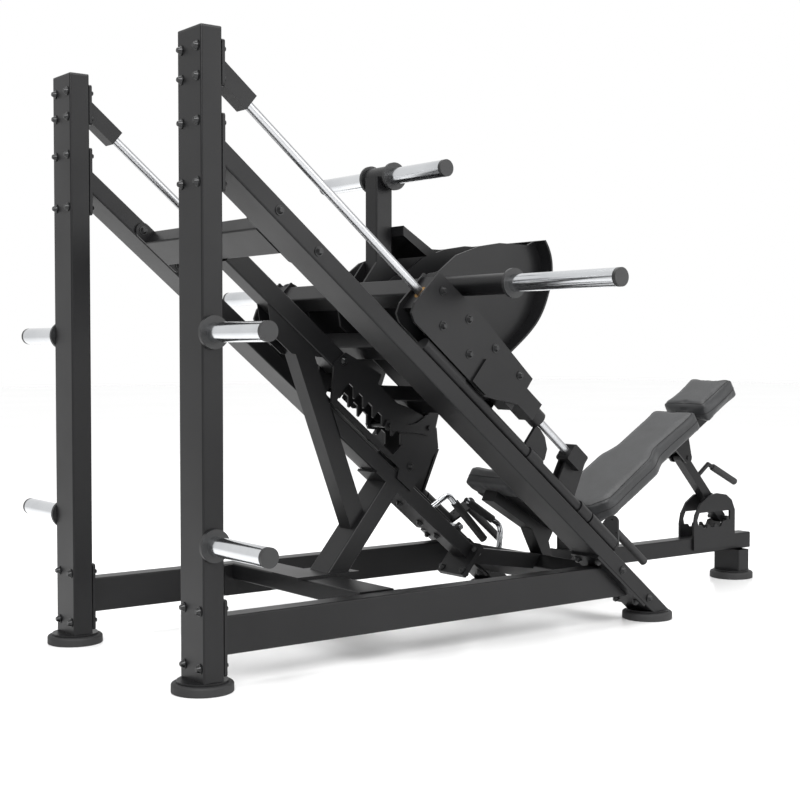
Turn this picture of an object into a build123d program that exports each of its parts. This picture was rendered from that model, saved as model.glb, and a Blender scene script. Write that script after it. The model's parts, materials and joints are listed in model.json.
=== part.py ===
from build123d import *
from math import cos, radians, sin, tan
import os

# Plate-loaded leg press, in millimetres. +X runs from the rear uprights to the seat, +Y is the user's
# right, +Z is up. The origin is on the floor, at the centre of the machine's outline.

# ---- Overall sizes -------------------------------------------------------------------------------
height = 1660.0             # floor to the top of the upright caps
half_track = 380.0          # machine centre to the centre of an upright, rail or guide rod
slope_angle = 39.6          # fall of the carriage rails
rail_top_z = 1412.0         # height of the rails' upper face on the uprights' centre plane
seat_foot_x = 2507.0        # uprights' centre to the seat foot

# ---- Steel sections ------------------------------------------------------------------------------
wall = 3.0                  # tube wall
flange = 8.0                # welded end plates
plate = 8.0                 # side plates and cheeks
upright_x_size = 60.0
upright_y_size = 120.0
rail_depth = 50.0           # rails, across their slope
rail_width = 120.0
base_height = 100.0
base_width = 60.0
base_bottom_z = 89.0
tube_corner = 5.0

# ---- Feet ----------------------------------------------------------------------------------------
foot_radius = 80.0
foot_height = 25.0
foot_disc_radius = 66.0
foot_disc = 6.0

# ---- Bolts ---------------------------------------------------------------------------------------
bolt_radius = 6.0
bolt_hole_radius = 6.4
washer_radius = 13.0
washer = 2.5
dome_radius = 10.5
dome_height = 9.0

# ---- Guide rods and carriage ---------------------------------------------------------------------
rod_radius = 12.5
rod_n = 146.0               # rod axis above the rails' upper face
rod_start_u = 34.0
rod_end_u = 1560.0
running_gap = 0.05          # radial, bush on rod
housing_width = 60.0
housing_n_low = 88.0
housing_n_high = 204.0
bush_wall = 7.0
side_u0 = 768.0             # carriage side plates along the slope
side_u1 = 1250.0
side_n0 = 50.0
side_n1 = 215.0
neck_end_u = 1368.0

# ---- Loading sleeves -----------------------------------------------------------------------------
sleeve_radius = 25.0
sleeve_flange_radius = 42.0
sleeve_flange = 10.0
sleeve_cap = 12.0
peg_length = 262.0
load_length = 415.0
horn_length = 258.0

# ---- Safety stops --------------------------------------------------------------------------------
safety_y = 405.0
safety_n = 26.0
safety_radius = 19.0
sleeve_gap = 0.08
stop_gap = 4.0

# ---- Seat and back -------------------------------------------------------------------------------
back_angle = 31.0
pad_thickness = 76.0
back_hinge_x = 1655.0
back_hinge_z = 236.0
pin_gap = 0.08

# ---- Derived -------------------------------------------------------------------------------------
cs = cos(radians(slope_angle))
sn = sin(radians(slope_angle))
upright_x = -seat_foot_x / 2
DOWN = (cs, 0, -sn)
upright_bottom = foot_height + foot_disc
cap_height = 6.0
upright_top = height - cap_height


def slope_point(u, y, n):
    """Point u down the slope from the uprights and n above the rails' upper face."""
    return Vector(upright_x + u * cs + n * sn, y, rail_top_z - u * sn + n * cs)


def slope_side(y):
    """Side-view plane in slope coordinates (u, n); extrudes towards -Y."""
    return Plane(origin=slope_point(0, y, 0), x_dir=DOWN, z_dir=(0, -1, 0))


def slope_cross(u):
    """Plane square to the slope, in (y, n); extrudes down the slope."""
    return Plane(origin=slope_point(u, 0, 0), x_dir=(0, 1, 0), z_dir=DOWN)


def side(y):
    """Side-view plane in (x from the uprights, z); extrudes towards -Y."""
    return Plane(origin=(upright_x, y, 0), x_dir=(1, 0, 0), z_dir=(0, -1, 0))


def cross(x):
    """Plane square to X, in (y, z); extrudes towards +X."""
    return Plane(origin=(upright_x + x, 0, 0), x_dir=(0, 1, 0), z_dir=(1, 0, 0))


def tube_section(width, depth):
    """Hollow rounded rectangle for the sketch in hand."""
    RectangleRounded(width, depth, tube_corner)
    RectangleRounded(width - 2 * wall, depth - 2 * wall, tube_corner - wall, mode=Mode.SUBTRACT)


def slope_u(z, n):
    """Distance down the slope at which a line n above the rail face is z high."""
    return (rail_top_z + n * cs - z) / sn


def save(builder, name):
    builder.part.label = name
    export_step(builder.part, f"parts/{name}.step")


os.makedirs("parts", exist_ok=True)

# ---- Bolt places: (plane at the head's seat, grip length) ------------------------------------------
upright_front = upright_x_size / 2
upright_rear = -upright_x_size / 2
clamp_rows = (1609.0, 1536.0)
rail_rows = (1427.0, 1276.0)
base_mid_z = base_bottom_z + base_height / 2
base_rows = (base_mid_z + 72.0, base_mid_z - 72.0)
bolt_column = 40.0
crossbar_u = 353.0
front_bar_u = 1985.0
crossbar_bolt = 78.0
base_end_n = -rail_depth - flange
base_end_u = (slope_u(base_bottom_z, base_end_n) + slope_u(base_bottom_z + base_height, base_end_n)) / 2
base_end_bolt = 110.0
base_end_column = 43.5

upright_bolts = []
for hand in (-1, 1):
    for z in clamp_rows + rail_rows + base_rows:
        for column in (-bolt_column, bolt_column):
            seat = Plane(origin=(upright_x + upright_rear, hand * half_track + column, z),
                         z_dir=(1, 0, 0))
            upright_bolts.append((seat, upright_x_size + flange))

rail_bolts = []
for hand in (-1, 1):
    for u in (crossbar_u, front_bar_u):
        for offset in (-crossbar_bolt, crossbar_bolt):
            start = slope_point(u + offset, hand * (half_track + rail_width / 2), -rail_depth / 2)
            rail_bolts.append((Plane(origin=start, z_dir=(0, -hand, 0)), rail_width + flange))

base_bolts = []
for hand in (-1, 1):
    for offset in (-base_end_bolt, base_end_bolt):
        for column in (-base_end_column, base_end_column):
            start = slope_point(base_end_u + offset, hand * half_track + column, base_end_n)
            base_bolts.append((Plane(origin=start, z_dir=(sn, 0, cs)), flange + wall))


def drill(places, radius=bolt_hole_radius, margin=60.0):
    """Cut the bolt holes of a list of places through the part in hand."""
    for seat, grip in places:
        with Locations(seat.offset(-margin)):
            Cylinder(radius, grip + 2 * margin, align=(Align.CENTER, Align.CENTER, Align.MIN),
                     mode=Mode.SUBTRACT)


def dome_bolt(grip):
    """Domed bolt with washers and a domed nut, its head seated at local z = 0, shank along +z."""
    upright = (Align.CENTER, Align.CENTER, Align.MIN)
    hanging = (Align.CENTER, Align.CENTER, Align.MAX)
    Cylinder(bolt_radius, grip, align=upright)
    Cylinder(washer_radius, washer, align=hanging)
    with Locations((0, 0, -washer)):
        Cone(dome_radius * 0.55, dome_radius, dome_height, align=hanging)
    with Locations((0, 0, grip)):
        Cylinder(washer_radius, washer, align=upright)
    with Locations((0, 0, grip + washer)):
        Cone(dome_radius, dome_radius * 0.55, dome_height, align=upright)


def place_bolts(places):
    """Add a domed bolt at each place to the part in hand."""
    for seat, grip in places:
        with Locations(seat):
            dome_bolt(grip)


# ---- Uprights, caps and feet -----------------------------------------------------------------------
for hand, word in ((-1, "left"), (1, "right")):
    with BuildPart() as upright:
        with BuildSketch(Plane.XY.offset(upright_bottom)):
            with Locations((upright_x, hand * half_track)):
                tube_section(upright_x_size, upright_y_size)
        extrude(amount=upright_top - upright_bottom)
        drill(upright_bolts)
    save(upright, f"upright_{word}")

with BuildPart() as upright_caps:
    with BuildSketch(Plane.XY.offset(upright_top)):
        with Locations(*[(upright_x, hand * half_track) for hand in (-1, 1)]):
            RectangleRounded(upright_x_size, upright_y_size, tube_corner)
    extrude(amount=cap_height)
    fillet(upright_caps.faces().group_by(Axis.Z)[-1].edges(), cap_height * 0.5)
    with BuildSketch(Plane.XY.offset(upright_top)):
        with Locations(*[(upright_x, hand * half_track) for hand in (-1, 1)]):
            RectangleRounded(upright_x_size - 2 * wall - 1, upright_y_size - 2 * wall - 1, 2)
    extrude(amount=-20)
save(upright_caps, "upright_caps")

rail_foot_u = slope_u(upright_bottom, -rail_depth / 2)
rail_foot_x = rail_foot_u * cs - rail_depth / 2 * sn
foot_places = [(upright_x, hand * half_track) for hand in (-1, 1)]
foot_places += [(upright_x + rail_foot_x, hand * half_track) for hand in (-1, 1)]
foot_places += [(upright_x + seat_foot_x, 0)]

with BuildPart() as floor_feet:
    with BuildSketch():
        with Locations(*foot_places):
            Circle(foot_radius)
    extrude(amount=foot_height)
    fillet(floor_feet.edges().group_by(Axis.Z)[-1], 7)
    chamfer(floor_feet.edges().group_by(Axis.Z)[0], 2)
save(floor_feet, "floor_feet")

with BuildPart() as foot_discs:
    with BuildSketch(Plane.XY.offset(foot_height)):
        with Locations(*foot_places):
            Circle(foot_disc_radius)
    extrude(amount=foot_disc)
save(foot_discs, "foot_discs")

# ---- Base rails, with their end flanges welded on ----------------------------------------------------
base_top_z = base_bottom_z + base_height
base_start_x = upright_front + flange


def end_x(z, n):
    """X from the uprights at which a line n above the rail face is z high."""
    return slope_u(z, n) * cs + n * sn


for hand, word in ((-1, "left"), (1, "right")):
    with BuildPart() as base_rail:
        with BuildSketch(side(hand * half_track + base_width / 2)):
            Polygon((base_start_x, base_bottom_z), (end_x(base_bottom_z, base_end_n), base_bottom_z),
                    (end_x(base_top_z, base_end_n), base_top_z), (base_start_x, base_top_z),
                    align=None)
        extrude(amount=base_width)
        fillet(base_rail.edges().filter_by(Axis.X), tube_corner)
        low = base_bottom_z + wall
        high = base_top_z - wall
        with BuildSketch(side(hand * half_track + base_width / 2 - wall)):
            Polygon((base_start_x, low), (end_x(low, base_end_n), low),
                    (end_x(high, base_end_n), high), (base_start_x, high), align=None)
        extrude(amount=base_width - 2 * wall, mode=Mode.SUBTRACT)
        with BuildSketch(cross(upright_front)):
            with Locations((hand * half_track, base_mid_z)):
                RectangleRounded(upright_y_size, base_rows[0] - base_rows[1] + 50, 8)
        extrude(amount=flange)
        with BuildSketch(slope_side(hand * half_track + rail_width / 2)):
            with Locations((base_end_u, base_end_n + flange / 2)):
                Rectangle(2 * base_end_bolt + 50, flange)
        extrude(amount=rail_width)
        drill(upright_bolts, margin=30)
        drill(base_bolts, margin=30)
    save(base_rail, f"base_rail_{word}")

# ---- Sloping rails, with their upper flanges ----------------------------------------------------------
for hand, word in ((-1, "left"), (1, "right")):
    with BuildPart() as slope_rail:
        with BuildSketch(side(hand * half_track + rail_width / 2)):
            Polygon((base_start_x, rail_top_z - base_start_x * tan(radians(slope_angle))),
                    (end_x(upright_bottom, 0), upright_bottom),
                    (end_x(upright_bottom, -rail_depth), upright_bottom),
                    (base_start_x, rail_top_z - rail_depth / cs - base_start_x * tan(radians(slope_angle))),
                    align=None)
        extrude(amount=rail_width)
        fillet(slope_rail.edges().filter_by(lambda edge: edge.length > 1000), tube_corner)
        with BuildSketch(side(hand * half_track + rail_width / 2 - wall)):
            Polygon((base_start_x, rail_top_z - wall / cs - base_start_x * tan(radians(slope_angle))),
                    (end_x(upright_bottom, -wall), upright_bottom),
                    (end_x(upright_bottom, wall - rail_depth), upright_bottom),
                    (base_start_x, rail_top_z - (rail_depth - wall) / cs
                     - base_start_x * tan(radians(slope_angle))), align=None)
        extrude(amount=rail_width - 2 * wall, mode=Mode.SUBTRACT)
        with BuildSketch(cross(upright_front)):
            with Locations((hand * half_track, sum(rail_rows) / 2)):
                RectangleRounded(upright_y_size, rail_rows[0] - rail_rows[1] + 44, 8)
        extrude(amount=flange)
        drill(upright_bolts, margin=30)
        drill(rail_bolts, margin=30)
        drill(base_bolts, margin=10)
    save(slope_rail, f"slope_rail_{word}")

# ---- Cross tubes between the rails, with rounded bolting plates at their ends ---------------------------
inner_y = half_track - rail_width / 2
cross_tube_width = 100.0
cross_tube_depth = 50.0
for name, u in (("upper_crossbar", crossbar_u), ("front_crossbar", front_bar_u)):
    with BuildPart() as crossbar:
        section_plane = Plane(origin=slope_point(u, -inner_y + flange, -rail_depth / 2), x_dir=DOWN,
                              z_dir=(0, 1, 0))
        with BuildSketch(section_plane):
            tube_section(cross_tube_width, cross_tube_depth)
        extrude(amount=2 * (inner_y - flange))
        for hand in (-1, 1):
            plate_plane = Plane(origin=slope_point(u, hand * inner_y, -rail_depth / 2), x_dir=DOWN,
                                z_dir=(0, -hand, 0))
            with BuildSketch(plate_plane):
                SlotCenterToCenter(2 * crossbar_bolt, 46)
            extrude(amount=flange)
        drill(rail_bolts, margin=30)
    save(crossbar, name)

# ---- Guide rods and their mounts ---------------------------------------------------------------------
mount_seat_n = rod_n - 24
clamp_u0 = 1520.0
clamp_u1 = 1590.0
for hand, word in ((-1, "left"), (1, "right")):
    with BuildPart() as guide_rod:
        with BuildSketch(slope_cross(rod_start_u)):
            with Locations((hand * half_track, rod_n)):
                Circle(rod_radius)
        extrude(amount=rod_end_u - rod_start_u)
        chamfer(guide_rod.edges().filter_by(GeomType.CIRCLE), 1.5)
    save(guide_rod, f"guide_rod_{word}")

with BuildPart() as rod_top_mounts:
    for hand in (-1, 1):
        with BuildSketch(cross(upright_front)):
            with Locations((hand * half_track, sum(clamp_rows) / 2)):
                RectangleRounded(upright_y_size, clamp_rows[0] - clamp_rows[1] + 44, 8)
        extrude(amount=flange)
        with BuildSketch(slope_side(hand * half_track + 24)):
            Polygon((-150, rod_n - 24), (rod_start_u + 22, rod_n - 24), (rod_start_u + 22, rod_n + 24),
                    (-150, rod_n + 24), align=None)
        extrude(amount=48)
    with BuildSketch(side(half_track + 200)):
        with Locations((upright_front - 100, height)):
            Rectangle(200, 800)
    extrude(amount=2 * half_track + 400, mode=Mode.SUBTRACT)
    with BuildSketch(slope_cross(rod_start_u)):
        with Locations((-half_track, rod_n), (half_track, rod_n)):
            Circle(rod_radius)
    extrude(amount=60, mode=Mode.SUBTRACT)
    drill(upright_bolts, margin=30)
save(rod_top_mounts, "rod_top_mounts")

with BuildPart() as rod_bottom_mounts:
    for hand in (-1, 1):
        with BuildSketch(slope_side(hand * half_track + 26)):
            with Locations(((clamp_u0 + clamp_u1) / 2, rod_n)):
                RectangleRounded(clamp_u1 - clamp_u0, 56, 6)
        extrude(amount=52)
    for y in (-half_track + 34, -half_track + 8, half_track - 26, half_track):
        with BuildSketch(slope_side(y)):
            Polygon((clamp_u0 + 20, rod_n - 20), (clamp_u0 + 45, 4), (clamp_u1 + 65, 4),
                    (clamp_u1 + 20, rod_n + 24), (clamp_u0 + 20, rod_n + 24), align=None)
        extrude(amount=8)
    for hand in (-1, 1):
        with BuildSketch(slope_side(hand * (half_track - 20) + 20)):
            Polygon((clamp_u0 + 35, 0), (clamp_u1 + 75, 0), (clamp_u1 + 75, 8), (clamp_u0 + 35, 8), align=None)
            Polygon((clamp_u1 + 12, rod_n + 20), (clamp_u1 + 20, rod_n + 24), (clamp_u1 + 66, 4),
                    (clamp_u1 + 57, 4), align=None)
        extrude(amount=40)
    with BuildSketch(slope_cross(clamp_u0 - 1)):
        with Locations((-half_track, rod_n), (half_track, rod_n)):
            Circle(rod_radius)
    extrude(amount=rod_end_u - clamp_u0 + 1, mode=Mode.SUBTRACT)
save(rod_bottom_mounts, "rod_bottom_mounts")

# ---- Centre structure: upper beam, brace, strut, lower beam, seat support ------------------------------
beam_half = 35.0
beam_high = 5.0
beam_low = -55.0
beam_end_u = 905.0
lower_high = -150.0
lower_low = -200.0
lower_end_u = 1668.0
joint_half = 66.0
brace_point = (607.0, 680.0)
brace_angle = 110.5
strut_point = (643.0, 193.0)
strut_angle = 50.5
strut_depth = 60.0
base_plate_z = 192.0


def meet(p, p_angle, q, q_angle):
    """Crossing of two side-view lines, each a point and an angle in degrees."""
    a, b = radians(p_angle), radians(q_angle)
    t = ((q[0] - p[0]) * sin(b) - (q[1] - p[1]) * cos(b)) / (cos(a) * sin(b) - sin(a) * cos(b))
    return (p[0] + t * cos(a), p[1] + t * sin(a))


def shifted(p, angle, distance):
    """Point moved square to a side-view direction."""
    return (p[0] - distance * sin(radians(angle)), p[1] + distance * cos(radians(angle)))


def slope_line(n):
    """Side-view line that runs along the slope at height n."""
    return ((n * sn, rail_top_z + n * cs), -slope_angle)


def member(p, angle, depth, first, last):
    """Outline of a straight member cut by two side-view lines."""
    low = shifted(p, angle, -depth / 2)
    high = shifted(p, angle, depth / 2)
    return [meet(low, angle, *first), meet(low, angle, *last), meet(high, angle, *last),
            meet(high, angle, *first)]


rack_bolts = [(Plane(origin=slope_point(u, -beam_half - plate, n), z_dir=(0, 1, 0)), 2 * (beam_half + plate))
              for u, n in ((890, -20), (1293, -112))]

with BuildPart() as centre_beam:
    with BuildSketch(slope_side(beam_half)):
        Polygon((crossbar_u + 50, beam_low), (beam_end_u, beam_low), (beam_end_u, beam_high),
                (crossbar_u + 50, beam_high), align=None)
    extrude(amount=2 * beam_half)
    fillet(centre_beam.edges().filter_by(lambda edge: edge.length > 400), tube_corner)
    with BuildSketch(slope_side(beam_half - wall)):
        Polygon((crossbar_u + 58, beam_low + wall), (beam_end_u, beam_low + wall),
                (beam_end_u, beam_high - wall), (crossbar_u + 58, beam_high - wall), align=None)
    extrude(amount=2 * (beam_half - wall), mode=Mode.SUBTRACT)
    drill(rack_bolts, margin=5)
save(centre_beam, "centre_beam")

strut_top_line = (shifted(strut_point, strut_angle, strut_depth / 2), strut_angle)
with BuildPart() as rear_brace:
    with BuildSketch(side(30)):
        Polygon(*member(brace_point, brace_angle, 60, strut_top_line, slope_line(beam_low)), align=None)
    extrude(amount=60)
    with BuildSketch(side(30 - wall)):
        Polygon(*member(brace_point, brace_angle, 60 - 2 * wall, strut_top_line, slope_line(beam_low)),
                align=None)
    extrude(amount=60 - 2 * wall, mode=Mode.SUBTRACT)
    with BuildSketch(slope_side(30)):
        Polygon((585, beam_low), (830, beam_low), (740, beam_low - 60), (655, beam_low - 60), align=None)
    extrude(amount=wall)
    with BuildSketch(slope_side(-30 + wall)):
        Polygon((585, beam_low), (830, beam_low), (740, beam_low - 60), (655, beam_low - 60), align=None)
    extrude(amount=wall)
save(rear_brace, "rear_brace")

head_plate = 8.0
head_u0 = 1195.0
head_u1 = 1500.0
strut_bolt_u = (1361.0, 1465.0)
strut_bolts = [(Plane(origin=slope_point(u, 0, lower_low - head_plate), z_dir=(sn, 0, cs)),
                lower_high - lower_low + head_plate) for u in strut_bolt_u]
strut_bolts += [(Plane(origin=slope_point(1547, 0, lower_low), z_dir=(sn, 0, cs)), lower_high - lower_low)]
joint_bolts = []
for y in (-50, 50):
    for n in (-165, -245):
        joint_bolts.append((Plane(origin=slope_point(lower_end_u, y, n), z_dir=DOWN), 2 * flange))

with BuildPart() as front_strut:
    with BuildSketch(side(50)):
        Polygon(*member(strut_point, strut_angle, strut_depth, ((0, base_plate_z + head_plate), 0),
                        slope_line(lower_low - head_plate)), align=None)
    extrude(amount=100)
    fillet(front_strut.edges().filter_by(lambda edge: 200 < edge.length < 400), tube_corner)
    with BuildSketch(side(50 - wall)):
        Polygon(*member(strut_point, strut_angle, strut_depth - 2 * wall,
                        ((0, base_plate_z + head_plate), 0), slope_line(lower_low - head_plate)), align=None)
    extrude(amount=100 - 2 * wall, mode=Mode.SUBTRACT)
    with BuildSketch(slope_side(50)):
        Polygon((head_u0, lower_low - head_plate), (head_u1, lower_low - head_plate), (head_u1, lower_low),
                (head_u0, lower_low), align=None)
    extrude(amount=100)
    with BuildSketch(side(70)):
        Polygon((490, base_plate_z), (710, base_plate_z), (710, base_plate_z + head_plate),
                (490, base_plate_z + head_plate), align=None)
    extrude(amount=140)
    drill(strut_bolts, margin=5)
save(front_strut, "front_strut")

with BuildPart() as rear_cross_tube:
    with BuildSketch(Plane(origin=(upright_x + 575, -half_track + base_width / 2 + flange, base_plate_z - 25),
                           x_dir=(1, 0, 0), z_dir=(0, 1, 0))):
        tube_section(120, 50)
    extrude(amount=2 * (half_track - base_width / 2 - flange))
    for hand in (-1, 1):
        with BuildSketch(Plane(origin=(upright_x + 575, hand * (half_track - base_width / 2), base_mid_z),
                               x_dir=(1, 0, 0), z_dir=(0, -hand, 0))):
            RectangleRounded(180, base_height - 4, 8)
        extrude(amount=flange)
save(rear_cross_tube, "rear_cross_tube")

brace_line = (shifted(brace_point, brace_angle, -30), brace_angle)
lower_start_high = meet(*slope_line(lower_high), *brace_line)
lower_start_low = meet(*slope_line(lower_low), *brace_line)
with BuildPart() as lower_beam:
    with BuildSketch(side(beam_half)):
        Polygon(lower_start_high, meet(*slope_line(lower_high), (lower_end_u * cs, rail_top_z - lower_end_u * sn),
                                       90 - slope_angle),
                meet(*slope_line(lower_low), (lower_end_u * cs, rail_top_z - lower_end_u * sn), 90 - slope_angle),
                lower_start_low, align=None)
    extrude(amount=2 * beam_half)
    fillet(lower_beam.edges().filter_by(lambda edge: edge.length > 400), tube_corner)
    with BuildSketch(slope_side(beam_half - wall)):
        Polygon((1050, lower_high - wall), (lower_end_u, lower_high - wall), (lower_end_u, lower_low + wall),
                (1050, lower_low + wall), align=None)
    extrude(amount=2 * (beam_half - wall), mode=Mode.SUBTRACT)
    with BuildSketch(slope_cross(lower_end_u)):
        with Locations((0, -201)):
            RectangleRounded(2 * joint_half, 122, 6)
    extrude(amount=flange)
    for y in (-22, 30):
        with BuildSketch(slope_side(y)):
            Polygon((1568, lower_high), (1600, lower_high), (1592, lower_high + 26), (1576, lower_high + 26),
                    align=None)
        extrude(amount=8)
    with Locations(Plane(origin=slope_point(1584, 0, lower_high + 14), z_dir=(0, 1, 0))):
        Cylinder(8 + pin_gap, 2 * beam_half, mode=Mode.SUBTRACT)
    drill(strut_bolts, margin=5)
    drill(joint_bolts, margin=5)
    drill(rack_bolts, margin=5)
save(lower_beam, "lower_beam")

support_plane_u = lower_end_u + flange
with BuildPart() as seat_support:
    with BuildSketch(side(30)):
        Polygon((1195, 224), (1491, 178), (1462, 132), (1170, 177), align=None)
    extrude(amount=60)
    with BuildSketch(slope_side(60)):
        Polygon((1400, -400), (support_plane_u + 0.5, -400), (support_plane_u + 0.5, 200), (1400, 200), align=None)
        Polygon((front_bar_u - 50, -400), (front_bar_u + 50, -400), (front_bar_u + 50, 200),
                (front_bar_u - 50, 200), align=None)
    extrude(amount=120, mode=Mode.SUBTRACT)
    with BuildSketch(slope_cross(support_plane_u)):
        with Locations((0, -201)):
            RectangleRounded(2 * joint_half, 122, 6)
    extrude(amount=flange)
    drill(joint_bolts, margin=5)
save(seat_support, "seat_support")

# ---- Limit rack: two toothed cheeks that join the upper and lower beams ---------------------------------
tooth_pitch = 46.0
tooth_count = 6
tooth_start = 949.0
tooth_root_n = -57.5
tooth_tip_n = -82.0
limit_pin_u = 1144.0
limit_pin_n = -66.0
limit_pivot_u = 1269.0
limit_pivot_n = 22.0
window = [(tooth_start - 6, tooth_root_n - 20)]
for tooth in range(tooth_count):
    u = tooth_start + tooth * tooth_pitch
    window += [(u, tooth_root_n), (u + 20, tooth_root_n), (u + 40, tooth_tip_n), (u + 45, tooth_tip_n)]
window += [(tooth_start + tooth_count * tooth_pitch - 2, tooth_tip_n), (1216, -124), (946, -124)]

with BuildPart() as limit_rack:
    for y in (beam_half + plate, -beam_half):
        with BuildSketch(slope_side(y)):
            Polygon((868, -45), (880, beam_high), (985, 30), (1026, 38), (1032, 8), (1127, 8), (1186, 30),
                    (1250, 44), (1300, 44), (1345, 0), (1345, -170), (1275, -170), (1262, -142), (932, -142),
                    align=None)
            Polygon(*window, align=None, mode=Mode.SUBTRACT)
        extrude(amount=plate)
    with Locations(Plane(origin=slope_point(limit_pivot_u, 0, limit_pivot_n), z_dir=(0, 1, 0))):
        Cylinder(8 + pin_gap, 200, mode=Mode.SUBTRACT)
    drill(rack_bolts, margin=2)
save(limit_rack, "limit_rack")

# ---- Storage pegs on the uprights ----------------------------------------------------------------------
peg_z = (905.0, 375.0)
upright_face_y = half_track + upright_y_size / 2
pegs = []
for hand in (-1, 1):
    for z in peg_z:
        pegs.append(Plane(origin=(upright_x, hand * upright_face_y, z), z_dir=(0, hand, 0)))


def discs(places, radius, length, offset=0.0, bore=0.0):
    """A round slug on each place, optionally bored."""
    for seat in places:
        with Locations(seat.offset(offset)):
            Cylinder(radius, length, align=(Align.CENTER, Align.CENTER, Align.MIN))
            if bore > 0:
                Cylinder(bore, length, align=(Align.CENTER, Align.CENTER, Align.MIN), mode=Mode.SUBTRACT)


with BuildPart() as peg_ends:
    discs(pegs, sleeve_flange_radius, sleeve_flange)
    discs(pegs, sleeve_radius, sleeve_cap, peg_length - sleeve_cap)
save(peg_ends, "peg_ends")
with BuildPart() as storage_pegs:
    discs(pegs, sleeve_radius, peg_length - sleeve_flange - sleeve_cap, sleeve_flange, bore=sleeve_radius - 3)
save(storage_pegs, "storage_pegs")

# ---- Carriage: side plates, housings, bushes ------------------------------------------------------------
housing_half = housing_width / 2
outer_face = half_track + housing_half
inner_face = half_track - housing_half
housing_spans = ((785.0, 985.0), (1040.0, 1245.0))
neck_start_u = 1245.0
neck_square_u = 1330.0
neck_ring_radius = 28.0
side_outline = [(side_u0, 92), (side_u0 + 10, 62), (side_u0 + 34, side_n0), (1133, side_n0), (side_u1, 113),
                (side_u1 - 4, 207), (988, side_n1 + 7), (side_u0 + 12, side_n1)]
tab_outline = [(1064, 52), (1128, 52), (1128, 133), (1064, 133)]
plate_bolts = []
for hand in (-1, 1):
    for u, n in ((823, 183), (947, 183), (1076, 183), (1200, 183), (886, 107), (1011, 107)):
        start = slope_point(u, hand * (outer_face + plate), n)
        plate_bolts.append((Plane(origin=start, z_dir=(0, -hand, 0)), housing_width + 2 * plate))

for name, y_places in (("carriage_outer_plates", (outer_face + plate, -outer_face)),
                       ("carriage_inner_plates", (inner_face, -inner_face + plate))):
    with BuildPart() as side_plates:
        for y in y_places:
            with BuildSketch(slope_side(y)):
                Polygon(*side_outline, align=None)
            extrude(amount=plate)
        if name == "carriage_outer_plates":
            for y in (outer_face + 2 * plate, -outer_face - plate):
                with BuildSketch(slope_side(y)):
                    Polygon(*tab_outline, align=None)
                extrude(amount=plate)
        drill(plate_bolts, margin=2)
    save(side_plates, name)

bush_bore = rod_radius + running_gap
bush_outer = rod_radius + bush_wall
rod_ends = [(-half_track, rod_n), (half_track, rod_n)]
with BuildPart() as bearing_housings:
    for start_u, end_u in housing_spans:
        with BuildSketch(slope_cross(start_u)):
            for y in (-half_track, half_track):
                with Locations((y, (housing_n_low + housing_n_high) / 2)):
                    Rectangle(housing_width, housing_n_high - housing_n_low)
            with Locations(*rod_ends):
                Circle(bush_outer, mode=Mode.SUBTRACT)
        extrude(amount=end_u - start_u)
    with BuildSketch(slope_cross(neck_start_u)):
        with Locations(*rod_ends):
            Rectangle(housing_width, housing_width)
            Circle(bush_outer, mode=Mode.SUBTRACT)
    extrude(amount=neck_square_u - neck_start_u)
    with BuildSketch(slope_cross(neck_square_u)):
        with Locations(*rod_ends):
            Circle(neck_ring_radius)
            Circle(bush_outer, mode=Mode.SUBTRACT)
    extrude(amount=neck_end_u - neck_square_u)
    drill(plate_bolts, margin=2)
save(bearing_housings, "bearing_housings")

with BuildPart() as guide_bushes:
    for start_u, end_u in housing_spans:
        with BuildSketch(slope_cross(start_u)):
            with Locations(*rod_ends):
                Circle(bush_outer)
                Circle(bush_bore, mode=Mode.SUBTRACT)
        extrude(amount=end_u - start_u)
save(guide_bushes, "guide_bushes")

# ---- Carriage: cross tubes, ribs and footplate ----------------------------------------------------------
cross_half = 30.0
cross_places = ((814.0, 171.0), (940.0, 80.0), (1200.0, 80.0))
inner_plate_face = inner_face - plate
with BuildPart() as carriage_crossbars:
    for u, n in cross_places:
        crossbar_end = Plane(origin=slope_point(u, -inner_plate_face, n), x_dir=DOWN, z_dir=(0, 1, 0))
        with BuildSketch(crossbar_end):
            tube_section(2 * cross_half, 2 * cross_half)
        extrude(amount=2 * inner_plate_face)
save(carriage_crossbars, "carriage_crossbars")

sheet = 6.0
footplate_half = 300.0
footplate_front = [(1198.0, 215.0), (1224.0, 330.0), (1236.0, 440.0), (1216.0, 521.0), (1178.0, 590.0),
                   (1100.0, 637.0)]
footplate_back = []
for i, (u, n) in enumerate(footplate_front):
    before = footplate_front[max(i - 1, 0)]
    after = footplate_front[min(i + 1, len(footplate_front) - 1)]
    along = Vector(after[0] - before[0], after[1] - before[1]).normalized()
    footplate_back.append((u - sheet * along.Y, n + sheet * along.X))

rib_ys = (247.0, 82.0, -82.0, -247.0)
arm_u = 910.0
arm_n = 280.0
arm_radius = 30.0
with BuildPart() as footplate:
    with BuildSketch(slope_side(footplate_half)):
        with BuildLine():
            Spline(*footplate_front)
            Line(footplate_front[-1], footplate_back[-1])
            Spline(*reversed(footplate_back))
            Line(footplate_back[0], footplate_front[0])
        make_face()
    extrude(amount=2 * footplate_half)
save(footplate, "footplate")

rib_back = [(1086, 607), (996, 534), (943, 473), (893, 392), (873, 309), (849, 280), (838, 228), (800, 201),
            (844, 201), (844, 141), (880, 110), (1226, 110)]
with BuildPart() as footplate_ribs:
    for y in rib_ys:
        with BuildSketch(slope_side(y + plate / 2)):
            with BuildLine():
                Spline(*footplate_back)
                Polyline(footplate_back[-1], *rib_back, footplate_back[0])
            make_face()
            with Locations((arm_u, arm_n)):
                Circle(arm_radius, mode=Mode.SUBTRACT)
        extrude(amount=plate)
save(footplate_ribs, "footplate_ribs")

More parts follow.
